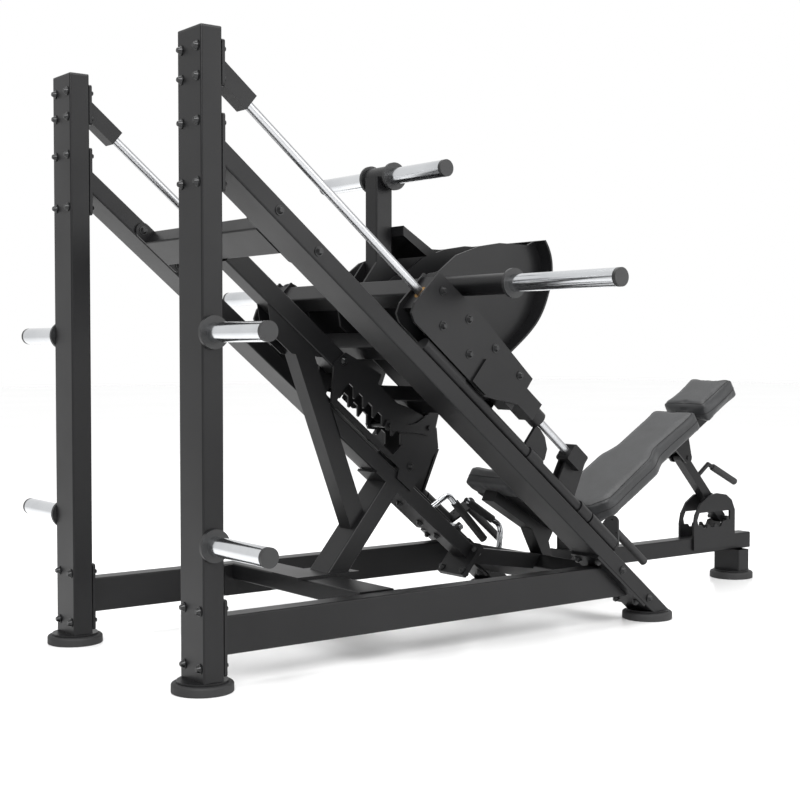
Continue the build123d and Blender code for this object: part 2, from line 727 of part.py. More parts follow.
# ---- Carriage: loading arms and horn ---------------------------------------------------------------------
arm_end_y = 565.0
horn_x = 835.0
horn_bar_x = 850.0
horn_bar_z = 1390.0
horn_flange_y = 54.0
arm_x = arm_u * cs + arm_n * sn
arm_z = rail_top_z - arm_u * sn + arm_n * cs
with BuildPart() as loading_arms:
    with Locations(Plane(origin=slope_point(arm_u, 0, arm_n), z_dir=(0, 1, 0))):
        Cylinder(arm_radius, 2 * arm_end_y)
        Cylinder(arm_radius - 4, 2 * arm_end_y, mode=Mode.SUBTRACT)
save(loading_arms, "loading_arms")

with BuildPart() as horn_post:
    with BuildSketch(Plane.XY.offset(arm_z + 8)):
        with Locations((upright_x + horn_x, 0)):
            tube_section(60, 60)
    extrude(amount=horn_bar_z - arm_z - 8)
    with Locations(Plane(origin=(upright_x + horn_bar_x, 0, horn_bar_z), z_dir=(0, 1, 0))):
        Cylinder(34, 2 * horn_flange_y)
    foot_u0 = (800 * cs + 201 * sn, rail_top_z - 800 * sn + 201 * cs)
    foot_u1 = (844 * cs + 201 * sn, rail_top_z - 844 * sn + 201 * cs)
    for y in (38, -30):
        with BuildSketch(side(y)):
            Polygon(foot_u0, foot_u1, (arm_x + 36, arm_z - 36), (arm_x + 40, arm_z + 30), (868, 1130), (800, 1130),
                    align=None)
        extrude(amount=8)
    with Locations(Plane(origin=slope_point(arm_u, 0, arm_n), z_dir=(0, 1, 0))):
        Cylinder(arm_radius, 200, mode=Mode.SUBTRACT)
    rib_edge = ((893 * cs + 392 * sn, rail_top_z - 893 * sn + 392 * cs),
                (943 * cs + 473 * sn, rail_top_z - 943 * sn + 473 * cs))
    brace_low = (rib_edge[0][0] * 0.8 + rib_edge[1][0] * 0.2, rib_edge[0][1] * 0.8 + rib_edge[1][1] * 0.2)
    brace_high = (rib_edge[0][0] * 0.4 + rib_edge[1][0] * 0.6, rib_edge[0][1] * 0.4 + rib_edge[1][1] * 0.6)
    with BuildSketch(side(86)):
        Polygon((865, 1240), (865, 1210), brace_low, brace_high, align=None)
    extrude(amount=172)
save(horn_post, "horn_post")

load_places = []
for hand in (-1, 1):
    load_places.append((Plane(origin=slope_point(arm_u, hand * arm_end_y, arm_n), z_dir=(0, hand, 0)),
                        load_length))
    load_places.append((Plane(origin=(upright_x + horn_bar_x, hand * horn_flange_y, horn_bar_z),
                              z_dir=(0, hand, 0)), horn_length))
with BuildPart() as sleeve_ends:
    for seat, length in load_places:
        discs([seat], sleeve_flange_radius, sleeve_flange)
        discs([seat], sleeve_radius, sleeve_cap, length - sleeve_cap)
save(sleeve_ends, "sleeve_ends")
with BuildPart() as loading_sleeves:
    for seat, length in load_places:
        discs([seat], sleeve_radius, length - sleeve_flange - sleeve_cap, sleeve_flange,
              bore=sleeve_radius - 3)
save(loading_sleeves, "loading_sleeves")
with BuildPart() as carriage_bolts:
    place_bolts(plate_bolts)
save(carriage_bolts, "carriage_bolts")

# ---- Safety stops --------------------------------------------------------------------------------------
safety_start_u = 900.0
safety_end_u = 1845.0
safety_bore = safety_radius + sleeve_gap
safety_ends = [(-safety_y, safety_n), (safety_y, safety_n)]
with BuildPart() as safety_sleeves:
    for start_u, end_u, radius in ((868, 1045, 22.5), (1705, 1843, 25)):
        with BuildSketch(slope_cross(start_u)):
            with Locations(*safety_ends):
                Circle(radius)
            for y in (-safety_y, safety_y):
                with Locations((y, 6)):
                    Rectangle(24, 12)
            with Locations(*safety_ends):
                Circle(safety_bore, mode=Mode.SUBTRACT)
        extrude(amount=end_u - start_u)
    with BuildSketch(slope_cross(868)):
        with Locations(*safety_ends):
            Circle(22.5)
    extrude(amount=20)
save(safety_sleeves, "safety_sleeves")

crank_head_y = 352.0
crank_head_n = 101.0
crank_grip_n = 104.0
flag_low = 12.0
flag_high = 129.0
flag_u = neck_end_u + stop_gap
flag_outline = [(flag_u, flag_low), (flag_u + 60, flag_low), (flag_u + 84, 40), (flag_u + 92, 70),
                (flag_u + 80, 100), (flag_u + 50, 122), (flag_u + 20, flag_high), (flag_u, flag_high)]
for hand, word in ((-1, "left"), (1, "right")):
    with BuildPart() as safety_stop:
        with BuildSketch(slope_cross(safety_start_u)):
            with Locations((hand * safety_y, safety_n)):
                Circle(safety_radius)
                Circle(safety_radius - wall, mode=Mode.SUBTRACT)
        extrude(amount=safety_end_u - safety_start_u)
        with BuildSketch(slope_cross(flag_u)):
            with Locations((hand * safety_y, safety_n)):
                Circle(24)
                Circle(safety_radius - wall, mode=Mode.SUBTRACT)
        extrude(amount=62)
        with BuildSketch(slope_cross(1645)):
            with Locations((hand * safety_y, safety_n)):
                Circle(24)
                Circle(safety_radius - wall, mode=Mode.SUBTRACT)
        extrude(amount=54)
        with BuildSketch(slope_side(hand * (safety_y - 26) + 6)):
            Polygon(*flag_outline, align=None)
        extrude(amount=12)
        with BuildSketch(slope_cross(safety_end_u)):
            with Locations((hand * safety_y, safety_n)):
                Circle(25)
            with Locations((hand * crank_head_y, crank_head_n)):
                Circle(30)
            make_hull()
            with Locations((hand * crank_head_y, crank_head_n + 12)):
                Circle(5, mode=Mode.SUBTRACT)
            for step in range(3):
                with Locations((hand * (safety_y - 14 + 9 * step), safety_n + 30 + 13 * step)):
                    Circle(3, mode=Mode.SUBTRACT)
        extrude(amount=plate)
    save(safety_stop, f"safety_stop_{word}")

with BuildPart() as safety_grips:
    with BuildSketch(slope_cross(safety_end_u + plate)):
        with Locations((-crank_head_y, crank_grip_n - 8)):
            Circle(13.5)
    extrude(amount=204)
    fillet(safety_grips.edges().filter_by(GeomType.CIRCLE).group_by(Axis.Z)[0], 5)
save(safety_grips, "safety_grip_left")
with BuildPart() as right_grip:
    add(mirror(safety_grips.part, about=Plane.XZ))
save(right_grip, "safety_grip_right")

# ---- Seat spine, post and rack plates --------------------------------------------------------------------
spine_half = 30.0
spine_low = 110.0
spine_high = 170.0
spine_end_x = 2579.0
spine_start_u = front_bar_u + 50
spine_start = ((spine_start_u + flange) * cs, rail_top_z - (spine_start_u + flange) * sn)
spine_cut = 90 - slope_angle
with BuildPart() as spine_beam:
    with BuildSketch(side(spine_half)):
        Polygon(meet((0, spine_low), 0, spine_start, spine_cut), (spine_end_x, spine_low),
                (spine_end_x, spine_high), meet((0, spine_high), 0, spine_start, spine_cut), align=None)
    extrude(amount=2 * spine_half)
    fillet(spine_beam.edges().filter_by(lambda edge: edge.length > 800), tube_corner)
    with BuildSketch(side(spine_half - wall)):
        Polygon(meet((0, spine_low + wall), 0, spine_start, spine_cut), (spine_end_x - wall, spine_low + wall),
                (spine_end_x - wall, spine_high - wall), meet((0, spine_high - wall), 0, spine_start, spine_cut),
                align=None)
    extrude(amount=2 * spine_half - 2 * wall, mode=Mode.SUBTRACT)
    with BuildSketch(slope_side(60)):
        Polygon((spine_start_u, -50), (spine_start_u + flange, -50), (spine_start_u + flange, 82),
                (spine_start_u, 82), align=None)
    extrude(amount=120)
save(spine_beam, "spine_beam")

with BuildPart() as seat_post:
    with BuildSketch(Plane.XY.offset(upright_bottom)):
        with Locations((upright_x + seat_foot_x, 0)):
            tube_section(upright_x_size, upright_y_size)
    extrude(amount=spine_low - upright_bottom)
save(seat_post, "seat_post")

# The prop's lower pin is 16 mm thick and rests on the rack's first step at strut_foot.
strut_top = (2215.0, 470.0)
strut_foot = (2430.0, 235.0)
strut_pin_radius = 8.0
rack_outline = [(2250, 125), (2480, 125), (2480, 262), (2462, 300), (2430, 322), (2380, 330), (2330, 322),
                (2286, 296), (2258, 256), (2250, 220)]
rack_floor = strut_foot[1] - strut_pin_radius - 0.1
rack_window = [(2452, rack_floor), (strut_foot[0], rack_floor), (2411, rack_floor - 4), (2408, 216), (2400, 204),
               (2384, 204), (2374, 217), (2366, 217), (2362, 204), (2344, 204), (2334, 217), (2326, 217),
               (2322, 204), (2304, 204), (2294, 215), (2274, 215), (2268, 236), (2280, 262), (2452, 262)]
with BuildPart() as rack_plates:
    for y in (spine_half + plate, -spine_half):
        with BuildSketch(side(y)):
            Polygon(*rack_outline, align=None)
            Polygon(*rack_window, align=None, mode=Mode.SUBTRACT)
        extrude(amount=plate)
save(rack_plates, "rack_plates")

# ---- Seat ----------------------------------------------------------------------------------------------
seat_fall = -31.0
seat_point = (1300.0, 484.0)
seat_length = 352.0
seat_half = 130.0
seat_thickness = 70.0


def seat_at(along, above):
    """Side-view point measured along the seat from its upper edge and square to its surface."""
    a = radians(seat_fall)
    return (seat_point[0] + along * cos(a) - above * sin(a), seat_point[1] + along * sin(a) + above * cos(a))


seat_plane = Plane(origin=(upright_x + seat_at(0, -seat_thickness)[0], 0, seat_at(0, -seat_thickness)[1]),
                   x_dir=(cos(radians(seat_fall)), 0, sin(radians(seat_fall))),
                   z_dir=(-sin(radians(seat_fall)), 0, cos(radians(seat_fall))))
with BuildPart() as seat_pad:
    with BuildSketch(seat_plane):
        with Locations((seat_length / 2, 0)):
            RectangleRounded(seat_length, 2 * seat_half, 40)
    extrude(amount=seat_thickness)
    fillet(seat_pad.faces().filter_by(seat_plane).edges(), 16)
save(seat_pad, "seat_pad")

seat_tube = 40.0
with BuildPart() as seat_frame:
    with BuildSketch(side(spine_half)):
        Polygon(seat_at(40, -seat_thickness), seat_at(330, -seat_thickness),
                seat_at(330, -seat_thickness - seat_tube), seat_at(40, -seat_thickness - seat_tube), align=None)
        Polygon(seat_at(240, -seat_thickness - seat_tube + 1), seat_at(328, -seat_thickness - seat_tube + 1),
                ((front_bar_u + 30) * cs, rail_top_z - (front_bar_u + 30) * sn),
                ((front_bar_u - 40) * cs, rail_top_z - (front_bar_u - 40) * sn), align=None)
    extrude(amount=2 * spine_half)
    with BuildSketch(side(100)):
        Polygon(seat_at(70, -seat_thickness), seat_at(300, -seat_thickness), seat_at(300, -seat_thickness - 5),
                seat_at(70, -seat_thickness - 5), align=None)
    extrude(amount=200)
save(seat_frame, "seat_frame")

# ---- Backrest ------------------------------------------------------------------------------------------
back_cos = cos(radians(back_angle))
back_sin = sin(radians(back_angle))
back_low = 31.0
back_step = 392.0
back_high = 675.0
back_under = 5.0
back_wide = 138.0
back_narrow = 105.0
head_low = 700.0
head_high = 900.0
head_under = 0.0


def back_side(y):
    """Side-view plane along the backrest, from its hinge; extrudes towards -Y."""
    return Plane(origin=(upright_x + back_hinge_x, y, back_hinge_z), x_dir=(back_cos, 0, back_sin),
                 z_dir=(0, -1, 0))


def back_face(w):
    """Plane along the backrest, w above its hinge, in (along, y)."""
    return Plane(origin=(upright_x + back_hinge_x - w * back_sin, 0, back_hinge_z + w * back_cos),
                 x_dir=(back_cos, 0, back_sin), z_dir=(-back_sin, 0, back_cos))


def back_local(x, z):
    """Side-view point turned into (along, above) from the back hinge."""
    return ((x - back_hinge_x) * back_cos + (z - back_hinge_z) * back_sin,
            -(x - back_hinge_x) * back_sin + (z - back_hinge_z) * back_cos)


strut_top_local = back_local(*strut_top)
with BuildPart() as back_pad:
    with BuildSketch(back_face(back_under)):
        with BuildLine():
            Polyline((back_low + 60, -back_wide), (back_step - 30, -back_wide), (back_step + 30, -back_narrow),
                     (back_high, -back_narrow), (back_high, back_narrow), (back_step + 30, back_narrow),
                     (back_step - 30, back_wide), (back_low + 60, back_wide))
            ThreePointArc((back_low + 60, back_wide), (back_low, 0), (back_low + 60, -back_wide))
        make_face()
    extrude(amount=pad_thickness)
    fillet(back_pad.faces().filter_by(back_face(0)).edges(), 14)
save(back_pad, "back_pad")

with BuildPart() as head_pad:
    with BuildSketch(back_face(head_under)):
        with Locations(((head_low + head_high) / 2, 0)):
            RectangleRounded(head_high - head_low, 2 * back_narrow, 30)
    extrude(amount=pad_thickness)
    fillet(head_pad.faces().filter_by(back_face(0)).edges(), 16)
save(head_pad, "head_pad")

lug_radius = 20.0
hinge_pin_radius = 8.0
with BuildPart() as back_frame:
    with BuildSketch(back_side(spine_half)):
        Polygon((24, -34), (head_high - 40, -34), (head_high - 40, head_under), (head_low - 12, head_under),
                (head_low - 12, back_under), (24, back_under), align=None)
    extrude(amount=2 * spine_half)
    with BuildSketch(back_side(spine_half - wall)):
        Polygon((24 + wall, -34 + wall), (head_high - 40 - wall, -34 + wall),
                (head_high - 40 - wall, head_under - wall), (24 + wall, head_under - wall), align=None)
    extrude(amount=2 * (spine_half - wall), mode=Mode.SUBTRACT)
    for y in (spine_half + plate, -spine_half):
        with BuildSketch(back_side(y)):
            Circle(lug_radius)
            Polygon((-10, -17), (130, -33), (130, 4), (24, 4), (8, 18), align=None)
        extrude(amount=plate)
        with BuildSketch(back_side(y)):
            with Locations(strut_top_local):
                Circle(lug_radius)
            Polygon((strut_top_local[0] - lug_radius, strut_top_local[1]),
                    (strut_top_local[0] + lug_radius, strut_top_local[1]), (strut_top_local[0] + 45, -10),
                    (strut_top_local[0] - 45, -10), align=None)
        extrude(amount=plate)
    with Locations(Plane(origin=(upright_x + back_hinge_x, 0, back_hinge_z), z_dir=(0, 1, 0))):
        Cylinder(hinge_pin_radius + pin_gap, 200, mode=Mode.SUBTRACT)
    with Locations(Plane(origin=(upright_x + strut_top[0], 0, strut_top[1]), z_dir=(0, 1, 0))):
        Cylinder(hinge_pin_radius, 200, mode=Mode.SUBTRACT)
        Cylinder(hinge_pin_radius, 2 * (spine_half + plate) + 8)
save(back_frame, "back_frame")

# ---- Hinge bracket on the spine: base plate, cheeks and pin ------------------------------------------------
bracket_gap = 0.4
with BuildPart() as hinge_bracket:
    with BuildSketch(side(spine_half + 2 * plate + bracket_gap)):
        Polygon((1634, spine_high), (1712, spine_high), (1712, spine_high + 6), (1634, spine_high + 6),
                align=None)
    extrude(amount=2 * (spine_half + 2 * plate + bracket_gap))
    for y in (spine_half + 2 * plate + bracket_gap, -spine_half - plate - bracket_gap):
        with BuildSketch(side(y)):
            Polygon((1636, spine_high), (1704, spine_high), (1678, back_hinge_z + 12),
                    (1664, back_hinge_z + 20), (1646, back_hinge_z + 20), (1636, back_hinge_z + 10), align=None)
        extrude(amount=plate)
    with Locations(Plane(origin=(upright_x + back_hinge_x, 0, back_hinge_z), z_dir=(0, 1, 0))):
        Cylinder(hinge_pin_radius, 2 * (spine_half + 2 * plate) + 12)
save(hinge_bracket, "hinge_bracket")

# ---- Prop strut with its pin, lever and grip ---------------------------------------------------------------
strut_length = ((strut_foot[0] - strut_top[0]) ** 2 + (strut_foot[1] - strut_top[1]) ** 2) ** 0.5
strut_dir = ((strut_foot[0] - strut_top[0]) / strut_length, (strut_foot[1] - strut_top[1]) / strut_length)
strut_half = 18.0


def strut_plane(y):
    """Side-view plane along the prop from its top pivot; extrudes towards -Y."""
    return Plane(origin=(upright_x + strut_top[0], y, strut_top[1]), x_dir=(strut_dir[0], 0, strut_dir[1]),
                 z_dir=(0, -1, 0))


prop_lever_path = Polyline((upright_x + 2306, 0, 392), (upright_x + 2368, 0, 437), (upright_x + 2440, 0, 402))
with BuildPart() as strut:
    with BuildSketch(strut_plane(strut_half)):
        SlotCenterPoint((strut_length / 2, 0), (strut_length, 0), 36)
    extrude(amount=2 * strut_half)
    with BuildSketch(strut_plane(strut_half - 4)):
        Polygon((30, -14), (strut_length - 22, -14), (strut_length - 22, 14), (30, 14), align=None)
    extrude(amount=2 * strut_half - 8, mode=Mode.SUBTRACT)
    with Locations(Plane(origin=(upright_x + strut_top[0], 0, strut_top[1]), z_dir=(0, 1, 0))):
        Cylinder(hinge_pin_radius + pin_gap, 200, mode=Mode.SUBTRACT)
    with Locations(Plane(origin=(upright_x + strut_foot[0], 0, strut_foot[1]), z_dir=(0, 1, 0))):
        Cylinder(strut_pin_radius, 2 * (spine_half + plate) + 16)
    with BuildSketch(Plane(origin=prop_lever_path @ 0, z_dir=prop_lever_path % 0)):
        Circle(8)
    sweep(path=prop_lever_path, transition=Transition.ROUND)
save(strut, "strut")
grip_from = Vector(upright_x + 2392, 0, 425.3)
grip_to = Vector(upright_x + 2524, 0, 361.2)
with BuildPart() as strut_grip:
    with BuildSketch(Plane(origin=grip_from, z_dir=grip_to - grip_from)):
        Circle(13)
    extrude(amount=(grip_to - grip_from).length)
    fillet(strut_grip.edges().filter_by(GeomType.CIRCLE), 4)
    with BuildSketch(Plane(origin=grip_from, z_dir=grip_to - grip_from)):
        Circle(8.2)
    extrude(amount=56, mode=Mode.SUBTRACT)
save(strut_grip, "strut_grip")

# ---- Hand grips beside the seat ------------------------------------------------------------------------
grip_y = 200.0
grip_root = (1502.0, 140.0)
grip_turn = (1513.0, 250.0)
grip_tip = (1353.0, 350.0)
rounded_path = FilletPolyline((upright_x + grip_root[0], grip_y, grip_root[1]),
                              (upright_x + grip_turn[0], grip_y, grip_turn[1]),
                              (upright_x + grip_tip[0], grip_y, grip_tip[1]), radius=40)
with BuildPart() as hand_grip_tube:
    with BuildSketch(Plane(origin=rounded_path @ 0, z_dir=rounded_path % 0)):
        Circle(10)
    sweep(path=rounded_path)
    with BuildSketch(slope_side(grip_y + 20)):
        Polygon((1600, -60), (2300, -60), (2300, 0), (1600, 0), align=None)
    extrude(amount=40, mode=Mode.SUBTRACT)
with BuildPart() as hand_grip_tubes:
    add(hand_grip_tube.part)
    add(mirror(hand_grip_tube.part, about=Plane.XZ))
save(hand_grip_tubes, "hand_grip_tubes")

grip_path = Line(rounded_path.position_at(0.52), rounded_path.position_at(0.95))
with BuildPart() as hand_grip:
    with BuildSketch(Plane(origin=grip_path @ 0, z_dir=grip_path % 0)):
        Circle(14)
        Circle(10.02, mode=Mode.SUBTRACT)
    extrude(amount=grip_path.length)
with BuildPart() as hand_grips:
    add(hand_grip.part)
    add(mirror(hand_grip.part, about=Plane.XZ))
save(hand_grips, "hand_grips")

# ---- Limit stop: arms on a pin through the rack, with a rubber buffer ---------------------------------------
arm_inner = beam_half + plate + 0.4
buffer_u = 1246.5
arm_outline = [(1144, -84), (1128, -76), (1126, -58), (1138, -50), (1200, -22), (1222, 4), (1240, 50), (1246, 104),
               (1262, 104), (1290, 40), (1292, 14), (1280, 0), (1262, -8)]
with BuildPart() as limit_arms:
    for y in (arm_inner + plate, -arm_inner):
        with BuildSketch(slope_side(y)):
            Polygon(*arm_outline, align=None)
        extrude(amount=plate)
    with BuildSketch(slope_side(arm_inner)):
        Polygon((1258, 58), (1266, 58), (1266, 102), (1258, 102), align=None)
    extrude(amount=2 * arm_inner)
    for u, n in ((limit_pin_u, limit_pin_n), (limit_pivot_u, limit_pivot_n)):
        with Locations(Plane(origin=slope_point(u, 0, n), z_dir=(0, 1, 0))):
            Cylinder(8, 2 * (arm_inner + plate) + 16)
save(limit_arms, "limit_arms")

with BuildPart() as limit_buffer:
    with BuildSketch(slope_side(arm_inner - 0.5)):
        Polygon((buffer_u, 62), (1258, 62), (1258, 98), (buffer_u, 98), align=None)
    extrude(amount=2 * arm_inner - 1)
save(limit_buffer, "limit_buffer")

lever_pivot = slope_point(1584, 0, lower_high + 14)
lever_y = 200.0
lever_path = FilletPolyline((lever_pivot.X, lever_y, lever_pivot.Z), (upright_x + 1275, lever_y, 374),
                            (upright_x + 1432, lever_y, 212), radius=22)
with BuildPart() as limit_lever:
    with Locations(Plane(origin=(lever_pivot.X, -40, lever_pivot.Z), z_dir=(0, 1, 0))):
        Cylinder(8, lever_y + 50, align=(Align.CENTER, Align.CENTER, Align.MIN))
    with BuildSketch(Plane(origin=lever_path @ 0, z_dir=lever_path % 0)):
        Circle(10)
    sweep(path=lever_path)
save(limit_lever, "limit_lever")
lever_end = Line(lever_path.position_at(0.52), lever_path.position_at(1))
with BuildPart() as lever_grip:
    with BuildSketch(Plane(origin=lever_end @ 0, z_dir=lever_end % 0)):
        Circle(14)
    extrude(amount=lever_end.length + 4)
    with BuildSketch(Plane(origin=lever_end @ 0, z_dir=lever_end % 0)):
        Circle(10.02)
    extrude(amount=lever_end.length + 0.02, mode=Mode.SUBTRACT)
save(lever_grip, "lever_grip")

# ---- Bolts of the frame --------------------------------------------------------------------------------
with BuildPart() as frame_bolts:
    place_bolts(upright_bolts + rail_bolts + base_bolts + strut_bolts + joint_bolts + rack_bolts)
save(frame_bolts, "frame_bolts")
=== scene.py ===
import json
import math

import bmesh
import bpy
import numpy as np
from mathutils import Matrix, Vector
from mathutils.bvhtree import BVHTree


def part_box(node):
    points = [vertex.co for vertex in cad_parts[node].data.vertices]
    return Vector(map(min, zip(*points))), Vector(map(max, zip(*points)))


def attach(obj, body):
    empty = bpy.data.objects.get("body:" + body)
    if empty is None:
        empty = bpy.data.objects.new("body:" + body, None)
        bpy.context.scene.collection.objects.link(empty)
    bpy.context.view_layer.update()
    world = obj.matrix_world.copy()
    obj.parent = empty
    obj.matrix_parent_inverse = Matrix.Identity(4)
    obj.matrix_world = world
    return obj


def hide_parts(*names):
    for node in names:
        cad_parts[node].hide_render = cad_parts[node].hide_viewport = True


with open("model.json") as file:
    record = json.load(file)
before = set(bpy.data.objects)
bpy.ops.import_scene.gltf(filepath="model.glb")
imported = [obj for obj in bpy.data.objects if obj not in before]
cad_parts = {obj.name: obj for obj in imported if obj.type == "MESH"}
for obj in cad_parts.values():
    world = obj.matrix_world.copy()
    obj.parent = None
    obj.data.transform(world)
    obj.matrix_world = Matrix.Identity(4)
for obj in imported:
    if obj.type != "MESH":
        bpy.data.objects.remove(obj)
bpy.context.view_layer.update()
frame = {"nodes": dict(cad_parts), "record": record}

# ---- Places shared with the frame: the back hinge, the seat's upper edge and the slope, in metres ----
UPRIGHT_X = sum(p.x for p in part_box("upright_left")) / 2
SLOPE = math.radians(39.6)
BACK = math.radians(31.0)
HINGE = np.array([UPRIGHT_X + 1.655, 0.0, 0.236])
SEAT_EDGE = np.array([UPRIGHT_X + 1.300, 0.0, 0.484])


def linear(hex_colour):
    """sRGB hex to linear red, green, blue and 1."""
    parts = [int(hex_colour[i:i + 2], 16) / 255 for i in (0, 2, 4)]
    return [c / 12.92 if c <= 0.04045 else ((c + 0.055) / 1.055) ** 2.4 for c in parts] + [1.0]


def add_node(tree, kind, values=None, links=None, **settings):
    """Adds one node, sets its own properties and socket values, and joins its inputs."""
    node = tree.nodes.new(kind)
    for name, value in settings.items():
        setattr(node, name, value)
    for name, value in (values or {}).items():
        node.inputs[name].default_value = value
    for name, source in (links or {}).items():
        tree.links.new(source, node.inputs[name])
    return node


def new_material(name, **shader):
    """A material with one shader, its even values set on the shader itself."""
    material = bpy.data.materials.new(name)
    material.use_nodes = True
    tree = material.node_tree
    surface = tree.nodes["Principled BSDF"]
    for socket, value in shader.items():
        surface.inputs[socket.replace("_", " ")].default_value = value
    place = add_node(tree, "ShaderNodeTexCoord").outputs["Object"]
    return material, tree, surface, place


def mottled(tree, surface, place, dark, light, per_metre, low=0.3, high=0.7):
    """Base colour that drifts between two tones over patches of a real size."""
    cloud = add_node(tree, "ShaderNodeTexNoise", {"Scale": per_metre, "Detail": 4.0}, {"Vector": place})
    ramp = add_node(tree, "ShaderNodeValToRGB", None, {"Fac": cloud.outputs["Fac"]})
    ramp.color_ramp.elements[0].position = low
    ramp.color_ramp.elements[1].position = high
    ramp.color_ramp.elements[0].color = linear(dark)
    ramp.color_ramp.elements[1].color = linear(light)
    tree.links.new(ramp.outputs["Color"], surface.inputs["Base Color"])
    return cloud


def varied_roughness(tree, surface, place, low, high, per_metre):
    """Roughness that drifts between two values, as handling and dust leave it."""
    smear = add_node(tree, "ShaderNodeTexNoise", {"Scale": per_metre, "Detail": 3.0}, {"Vector": place})
    spread = add_node(tree, "ShaderNodeMapRange", {"To Min": low, "To Max": high},
                      {"Value": smear.outputs["Fac"]})
    tree.links.new(spread.outputs["Result"], surface.inputs["Roughness"])


def raised(tree, surface, height, strength, distance):
    """Bump from a height, with the relief in metres."""
    bump = add_node(tree, "ShaderNodeBump", {"Strength": strength, "Distance": distance}, {"Height": height})
    tree.links.new(bump.outputs["Normal"], surface.inputs["Normal"])


# Satin black powder coat on welded steel: fine orange peel about 1.5 mm across, soft wide highlights.
powder_coat, tree, surface, place = new_material("satin_black_powder_coat", IOR=1.5, Specular_IOR_Level=0.22)
mottled(tree, surface, place, "0b0b0c", "131314", 3.0)
varied_roughness(tree, surface, place, 0.32, 0.44, 8.0)
peel = add_node(tree, "ShaderNodeTexNoise", {"Scale": 650.0, "Detail": 2.0}, {"Vector": place})
raised(tree, surface, peel.outputs["Fac"], 0.25, 0.0002)

# Hard chrome on ground steel tube: bright, a little soft where plates have slid over it.
chrome, tree, surface, place = new_material("hard_chrome_tube", Metallic=1.0)
mottled(tree, surface, place, "bfc1c4", "d2d4d6", 6.0)
varied_roughness(tree, surface, place, 0.12, 0.2, 14.0)

# Ground and chromed guide shaft: finer grey than the sleeves, with a soft highlight along its length.
guide_steel, tree, surface, place = new_material("ground_guide_shaft", Metallic=1.0)
mottled(tree, surface, place, "9a9b9d", "b0b1b3", 5.0)
varied_roughness(tree, surface, place, 0.3, 0.38, 14.0)

# Black oxide on cold-forged steel bolts: near black, slightly oily sheen.
black_oxide, tree, surface, place = new_material("black_oxide_bolts", Metallic=0.35, IOR=1.5)
mottled(tree, surface, place, "0c0c0d", "161718", 60.0)
varied_roughness(tree, surface, place, 0.26, 0.42, 90.0)

# PVC leatherette over foam: pebbled grain about 1.4 mm across, dull sheen, darker in the pores.
leatherette, tree, surface, place = new_material("pvc_leatherette", IOR=1.5, Sheen_Weight=0.06,
                                                 Sheen_Roughness=0.5, Specular_IOR_Level=0.45)
mottled(tree, surface, place, "161718", "202123", 12.0)
varied_roughness(tree, surface, place, 0.42, 0.56, 20.0)
pebbles = add_node(tree, "ShaderNodeTexVoronoi", {"Scale": 700.0}, {"Vector": place},
                   feature="DISTANCE_TO_EDGE")
wrinkles = add_node(tree, "ShaderNodeTexNoise", {"Scale": 45.0, "Detail": 5.0}, {"Vector": place})
grain = add_node(tree, "ShaderNodeMath", {1: 0.5}, {0: wrinkles.outputs["Fac"], 2: pebbles.outputs["Distance"]},
                 operation="MULTIPLY_ADD")
raised(tree, surface, grain.outputs["Value"], 0.35, 0.0004)

# Bonded polyester seam cord: matt black line sunk along the pad's edges.
seam_cord, tree, surface, place = new_material("polyester_seam_cord", IOR=1.5, Roughness=0.8)
mottled(tree, surface, place, "070708", "0e0e0f", 300.0)

# Moulded rubber: matt, slightly grey where it is dusty.
rubber, tree, surface, place = new_material("moulded_rubber", IOR=1.52)
mottled(tree, surface, place, "0e0e0f", "181819", 9.0)
varied_roughness(tree, surface, place, 0.62, 0.8, 25.0)
pores = add_node(tree, "ShaderNodeTexNoise", {"Scale": 900.0, "Detail": 3.0}, {"Vector": place})
raised(tree, surface, pores.outputs["Fac"], 0.3, 0.0002)

# Sintered bronze bushes: dull warm metal with fine pores.
bronze, tree, surface, place = new_material("sintered_bronze", Metallic=1.0)
mottled(tree, surface, place, "7d5f35", "94723f", 80.0)
varied_roughness(tree, surface, place, 0.35, 0.5, 120.0)

# Moulded polyethylene end caps: soft black plastic with a fine spark texture.
end_plastic, tree, surface, place = new_material("moulded_end_cap", IOR=1.5)
mottled(tree, surface, place, "0d0d0e", "151617", 30.0)
varied_roughness(tree, surface, place, 0.45, 0.58, 60.0)
spark = add_node(tree, "ShaderNodeTexNoise", {"Scale": 1100.0, "Detail": 2.0}, {"Vector": place})
raised(tree, surface, spark.outputs["Fac"], 0.2, 0.0002)

FINISHES = {"powder_coat": powder_coat, "chrome": chrome, "bolt_black": black_oxide,
            "pad_cover": leatherette, "rubber": rubber, "bronze": bronze, "end_cap": end_plastic}
for entry in frame["record"]["subparts"]:
    node = frame["nodes"][entry["node"]]
    node.data.materials.clear()
    shaft = entry["node"].startswith("guide_rod")
    node.data.materials.append(guide_steel if shaft else FINISHES[entry["material_slot"]])


def mesh_object(name, points, faces, material, smooth=True):
    """An object at the origin from an array of points and a list of faces."""
    mesh = bpy.data.meshes.new(name)
    mesh.from_pydata(points.tolist(), [], faces)
    mesh.update()
    mesh.polygons.foreach_set("use_smooth", [smooth] * len(mesh.polygons))
    mesh.materials.append(material)
    piece = bpy.data.objects.new(name, mesh)
    bpy.context.collection.objects.link(piece)
    return piece


def grid_faces(rows, columns, wrap):
    """Quads of a grid whose columns may close on themselves."""
    row, column = np.meshgrid(np.arange(rows - 1), np.arange(columns if wrap else columns - 1), indexing="ij")
    after = (column + 1) % columns
    a, b = row * columns + column, row * columns + after
    return np.stack([a, b, b + columns, a + columns], -1).reshape(-1, 4).tolist()


